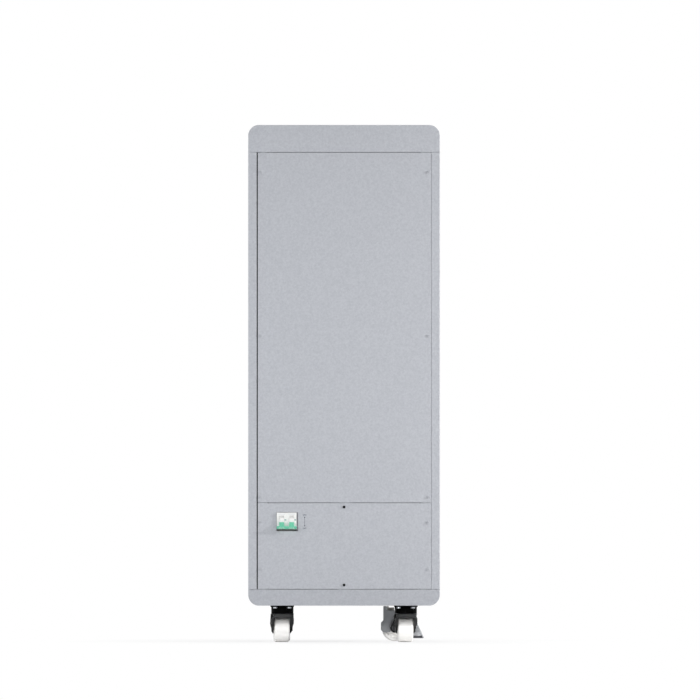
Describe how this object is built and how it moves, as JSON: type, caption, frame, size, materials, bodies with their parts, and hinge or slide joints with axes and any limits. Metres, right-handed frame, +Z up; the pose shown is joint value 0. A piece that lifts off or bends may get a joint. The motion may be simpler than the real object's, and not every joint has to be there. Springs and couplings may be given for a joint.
{
  "type": "lithium iron phosphate battery cabinet",
  "caption": "Tall free-standing battery cabinet on swivel casters, with screwed front covers, a lever breaker in a window and stud terminals at the back.",
  "frame": {"origin": "centre of the bounding box on the floor plane under the casters", "axes": "+X to the right as the front is faced, +Y from the front covers to the back, +Z up"},
  "size_m": [0.52, 0.452, 1.405],
  "materials": {
    "cabinet_paint": "fine texture powder coat, light bluish gray",
    "galvanised_steel": "passivated zinc coat, matte",
    "screw_steel": "zinc plated, satin",
    "black_screw_steel": "black oxide, matte",
    "busbar_metal": "nickel plated copper, satin",
    "plate_aluminium": "clear anodised, satin",
    "cell_aluminium": "blue insulating film over the can",
    "breaker_plastic": "moulded white, fine matte grain",
    "toggle_plastic": "moulded green, satin",
    "board_laminate": "green solder mask",
    "fuse_ceramic": "white glazed ceramic body",
    "red_plastic": "moulded red, fine matte grain",
    "black_plastic": "moulded black, fine matte grain",
    "stud_brass": "machined brass, satin",
    "bezel_steel": "turned stainless steel, satin",
    "caster_steel": "black electrocoat, satin",
    "bearing_steel": "ground steel, oiled",
    "fork_steel": "black electrocoat, satin",
    "wheel_nylon": "cast nylon, smooth",
    "axle_steel": "zinc plated, satin",
    "pedal_steel": "zinc plated pressed steel, matte",
    "housing_plastic": "moulded gray, fine matte grain"
  },
  "bodies": {
    "cabinet": {"top_cap": "cabinet_paint", "base_tray": "cabinet_paint", "side_panel_right": "cabinet_paint", "side_panel_left": "cabinet_paint", "corner_posts": "galvanised_steel", "frame_rails": "galvanised_steel", "frame_brackets": "galvanised_steel", "upper_cover": "cabinet_paint", "lower_cover": "cabinet_paint", "side_screws": "screw_steel", "centre_screws": "black_screw_steel", "back_upper_cover": "cabinet_paint", "back_lower_cover": "cabinet_paint", "back_screws": "screw_steel", "cell_shelves": "galvanised_steel", "cells_tier_1": "cell_aluminium", "cells_tier_2": "cell_aluminium", "cells_tier_3": "cell_aluminium", "cells_tier_4": "cell_aluminium", "busbars": "busbar_metal", "tier_links": "busbar_metal", "end_plates": "plate_aluminium", "tie_rods": "screw_steel", "breaker_poles": "breaker_plastic", "breaker_clamps": "screw_steel", "din_rail": "galvanised_steel", "component_plate": "galvanised_steel", "bms_heatsink": "plate_aluminium", "bms_board": "board_laminate", "contactor": "black_plastic", "main_fuse": "fuse_ceramic", "terminal_base_positive": "red_plastic", "terminal_base_negative": "black_plastic", "terminal_studs": "stud_brass", "earth_stud": "stud_brass", "comm_ports": "black_plastic", "button_bezel": "bezel_steel", "caster_plates": "caster_steel", "swivel_bearings": "bearing_steel", "plate_bolts": "screw_steel"},
    "breaker_lever": {"breaker_drums": "breaker_plastic", "breaker_toggle": "toggle_plastic"},
    "power_button": {"power_button": "bezel_steel"},
    "caster_front_left": {"caster_fork_front_left": "fork_steel", "caster_axle_front_left": "axle_steel"},
    "wheel_front_left": {"caster_wheel_front_left": "wheel_nylon"},
    "caster_front_right": {"caster_fork_front_right": "fork_steel", "caster_axle_front_right": "axle_steel"},
    "wheel_front_right": {"caster_wheel_front_right": "wheel_nylon"},
    "caster_rear_left": {"caster_fork_rear_left": "fork_steel", "caster_axle_rear_left": "axle_steel", "brake_housing_rear_left": "housing_plastic"},
    "wheel_rear_left": {"caster_wheel_rear_left": "wheel_nylon"},
    "pedal_rear_left": {"brake_pedal_rear_left": "pedal_steel"},
    "caster_rear_right": {"caster_fork_rear_right": "fork_steel", "caster_axle_rear_right": "axle_steel", "brake_housing_rear_right": "housing_plastic"},
    "wheel_rear_right": {"caster_wheel_rear_right": "wheel_nylon"},
    "pedal_rear_right": {"brake_pedal_rear_right": "pedal_steel"}
  },
  "joints": [
    {"name": "breaker_throw", "type": "hinge", "parent": "cabinet", "child": "breaker_lever", "pos_m": [-0.1558, -0.20201, 0.3301], "axis": [-1, 0, 0], "range_deg": [0, 84]},
    {"name": "button_press", "type": "slide", "parent": "cabinet", "child": "power_button", "axis": [0, -1, 0], "range_m": [0, 0.003], "stiffness_N_per_m": 300},
    {"name": "swivel_front_left", "type": "hinge", "parent": "cabinet", "child": "caster_front_left", "pos_m": [-0.168, -0.12601, 0.088], "axis": [0, 0, 1], "continuous": true},
    {"name": "roll_front_left", "type": "hinge", "parent": "caster_front_left", "child": "wheel_front_left", "pos_m": [-0.17009, -0.09608, 0.035], "axis": [-0.9976, -0.0698, 0], "continuous": true},
    {"name": "swivel_front_right", "type": "hinge", "parent": "cabinet", "child": "caster_front_right", "pos_m": [0.168, -0.12601, 0.088], "axis": [0, 0, 1], "continuous": true},
    {"name": "roll_front_right", "type": "hinge", "parent": "caster_front_right", "child": "wheel_front_right", "pos_m": [0.16643, -0.09605, 0.035], "axis": [-0.9986, -0.0523, 0], "continuous": true},
    {"name": "swivel_rear_left", "type": "hinge", "parent": "cabinet", "child": "caster_rear_left", "pos_m": [-0.168, 0.10999, 0.088], "axis": [0, 0, 1], "continuous": true},
    {"name": "roll_rear_left", "type": "hinge", "parent": "caster_rear_left", "child": "wheel_rear_left", "pos_m": [-0.168, 0.13999, 0.035], "axis": [-1, 0, 0], "continuous": true},
    {"name": "brake_rear_left", "type": "hinge", "parent": "caster_rear_left", "child": "pedal_rear_left", "pos_m": [-0.168, 0.08799, 0.06], "axis": [-1, 0, 0], "range_deg": [0, 25]},
    {"name": "swivel_rear_right", "type": "hinge", "parent": "cabinet", "child": "caster_rear_right", "pos_m": [0.168, 0.10999, 0.088], "axis": [0, 0, 1], "continuous": true},
    {"name": "roll_rear_right", "type": "hinge", "parent": "caster_rear_right", "child": "wheel_rear_right", "pos_m": [0.138, 0.10999, 0.035], "axis": [0, -1, 0], "continuous": true},
    {"name": "brake_rear_right", "type": "hinge", "parent": "caster_rear_right", "child": "pedal_rear_right", "pos_m": [0.19, 0.10999, 0.06], "axis": [0, -1, 0], "range_deg": [0, 25]}
  ]
}
